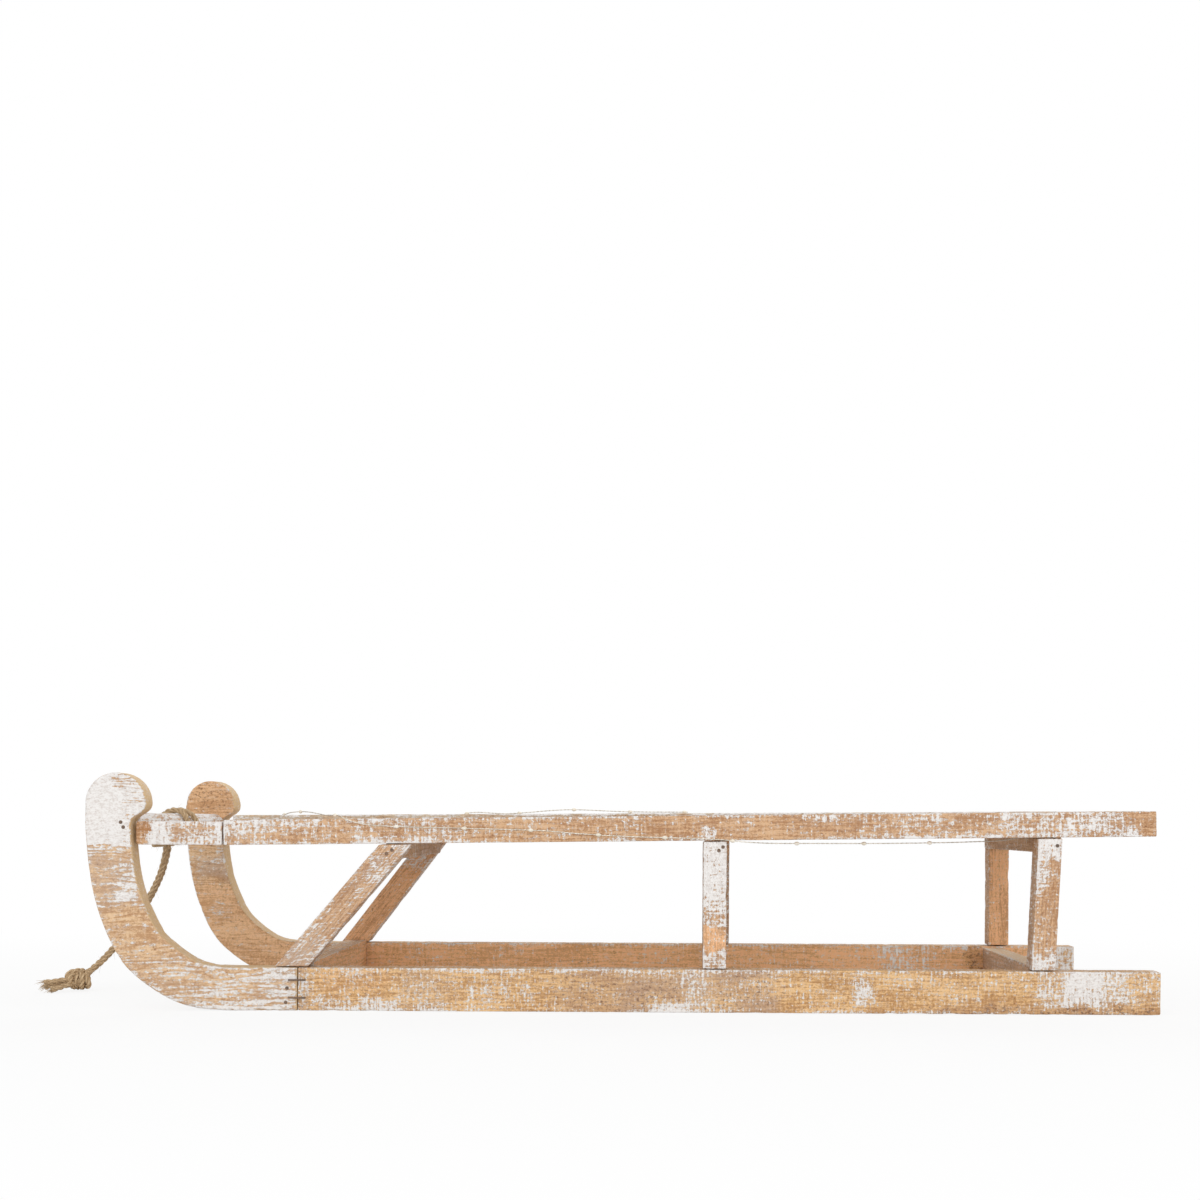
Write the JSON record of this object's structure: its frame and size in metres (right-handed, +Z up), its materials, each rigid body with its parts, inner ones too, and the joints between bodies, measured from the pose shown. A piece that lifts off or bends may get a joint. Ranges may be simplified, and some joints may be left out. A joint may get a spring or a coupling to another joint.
{
  "type": "sledge",
  "caption": "Small rustic wooden sledge with curled runner tips, a slatted deck, a round front crossbar, a knotted jute pull rope and a micro light string with a battery case.",
  "frame": {"origin": "on the floor under the middle of the sledge's length and width", "axes": "+X towards the rear, with the curled front towards -X; +Y towards the rider's right; +Z up"},
  "size_m": [0.8806, 0.266, 0.1765],
  "materials": {
    "tip_wood": "band-sawn, whitewashed on the outer faces",
    "runner_wood": "rough sawn, thin whitewash",
    "rail_wood": "rough sawn, whitewash left in the saw marks",
    "slat_wood": "rough sawn, greyish cream wash",
    "dark_wood": "rough sawn, dark stain on the front face",
    "white_wood": "turned, white paint with bare ends",
    "nail_steel": "plain steel wire",
    "jute": "laid jute, hairy",
    "light_wire": "silvery lacquered wire with clear drops",
    "case_plastic": "moulded, satin white",
    "knob_plastic": "moulded, dark",
    "cell_metal": "bright nickel plate",
    "pad_foam": "white foam tape"
  },
  "bodies": {
    "sledge": {"runner_tip_left": "tip_wood", "runner_tip_right": "tip_wood", "runner_bar_left": "runner_wood", "runner_bar_right": "runner_wood", "front_cross_member": "runner_wood", "rail_block_left": "rail_wood", "rail_block_right": "rail_wood", "deck_rail_left": "rail_wood", "deck_rail_right": "rail_wood", "strut_left": "rail_wood", "strut_right": "rail_wood", "mid_post_left": "rail_wood", "mid_post_right": "rail_wood", "rear_post_left": "rail_wood", "rear_post_right": "rail_wood", "front_batten": "rail_wood", "mid_batten": "rail_wood", "rear_batten": "rail_wood", "rear_cross_member": "dark_wood", "dowel_crossbar": "white_wood", "slat_1": "slat_wood", "slat_2": "slat_wood", "slat_3": "slat_wood", "slat_4": "slat_wood", "nail_neck_left_1": "nail_steel", "nail_neck_left_2": "nail_steel", "nail_neck_right_1": "nail_steel", "nail_neck_right_2": "nail_steel", "nail_joint_left_1": "nail_steel", "nail_joint_left_2": "nail_steel", "nail_joint_right_1": "nail_steel", "nail_joint_right_2": "nail_steel", "nail_strut_left_1": "nail_steel", "nail_strut_left_2": "nail_steel", "nail_strut_right_1": "nail_steel", "nail_strut_right_2": "nail_steel", "nail_mid_post_left_1": "nail_steel", "nail_mid_post_left_2": "nail_steel", "nail_mid_post_right_1": "nail_steel", "nail_mid_post_right_2": "nail_steel", "nail_rear_post_left_1": "nail_steel", "nail_rear_post_right_1": "nail_steel", "staple_left_1": "nail_steel", "staple_left_2": "nail_steel", "staple_right_1": "nail_steel", "staple_right_2": "nail_steel", "rope_hitch": "jute", "rope_strand_left": "jute", "rope_strand_right": "jute", "rope_knot": "jute", "light_wire": "light_wire", "battery_case": "case_plastic", "coin_cell_1": "cell_metal", "coin_cell_2": "cell_metal", "contact_strip": "cell_metal", "adhesive_pad": "pad_foam"},
    "cover": {"battery_cover": "case_plastic"},
    "switch": {"switch_slider": "knob_plastic"}
  },
  "joints": [
    {"name": "cover_slide", "type": "slide", "parent": "sledge", "child": "cover", "axis": [-0.9999, 0, -0.0147], "range_m": [0, 0.038]},
    {"name": "switch_slide", "type": "slide", "parent": "sledge", "child": "switch", "axis": [0, 1, 0], "range_m": [0, 0.003]}
  ]
}
